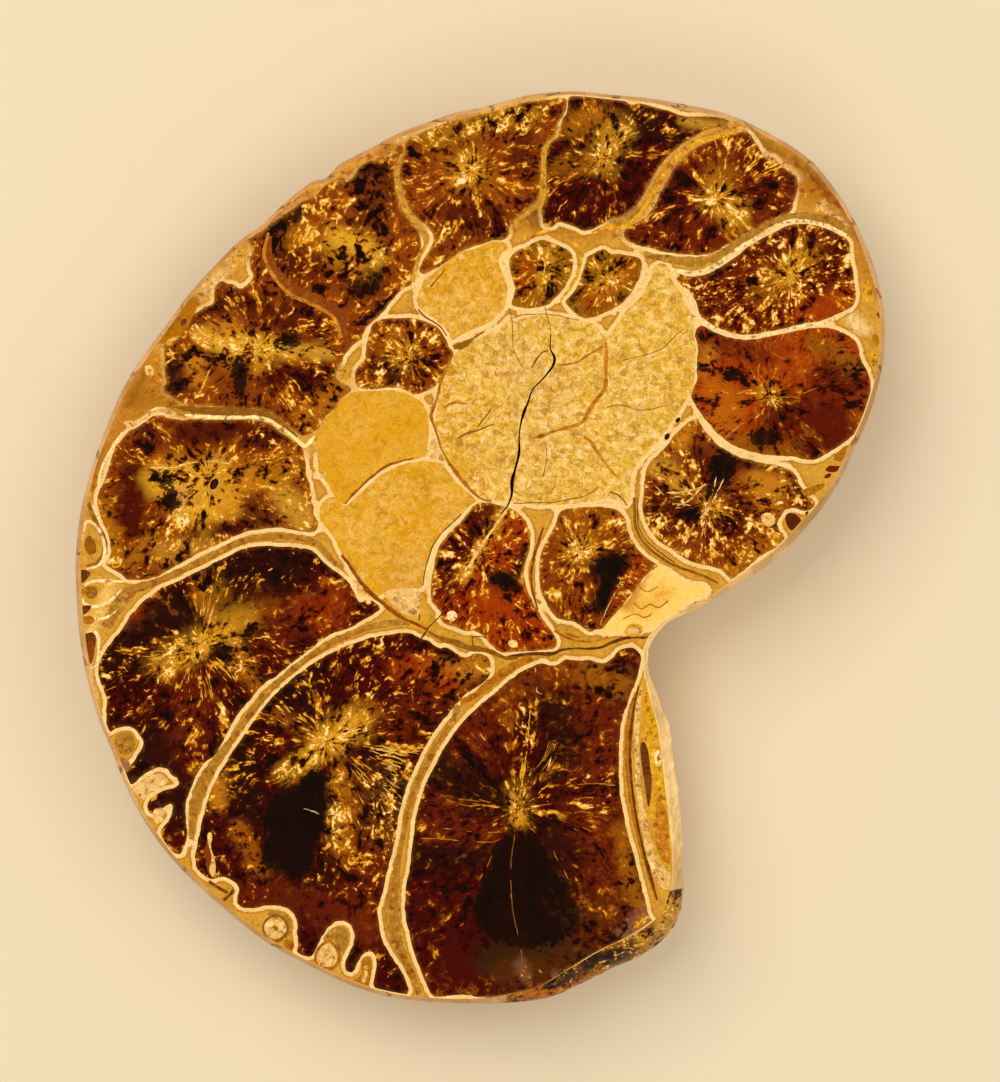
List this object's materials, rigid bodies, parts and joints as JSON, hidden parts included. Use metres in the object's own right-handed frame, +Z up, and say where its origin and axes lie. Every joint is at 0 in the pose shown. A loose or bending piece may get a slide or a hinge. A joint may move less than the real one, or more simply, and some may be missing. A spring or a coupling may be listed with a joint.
{
  "type": "ammonite fossil",
  "caption": "Half of a chambered ammonite fossil, sawn along its coil: polished flat cut face on top, ribbed shell flank with an open umbilicus beneath.",
  "frame": {"origin": "middle of the fossil's outline seen from above, at the surface it lies on", "axes": "+Z up, out of the cut face; +Y towards the far side of the coil, away from the broken aperture; +X to the side the aperture is on"},
  "size_m": [0.0973, 0.1097, 0.0171],
  "materials": {
    "calcite": "polished calcite, brown and gold with cream chamber walls"
  },
  "bodies": {
    "root": {"ammonite_half": "calcite"}
  },
  "joints": []
}
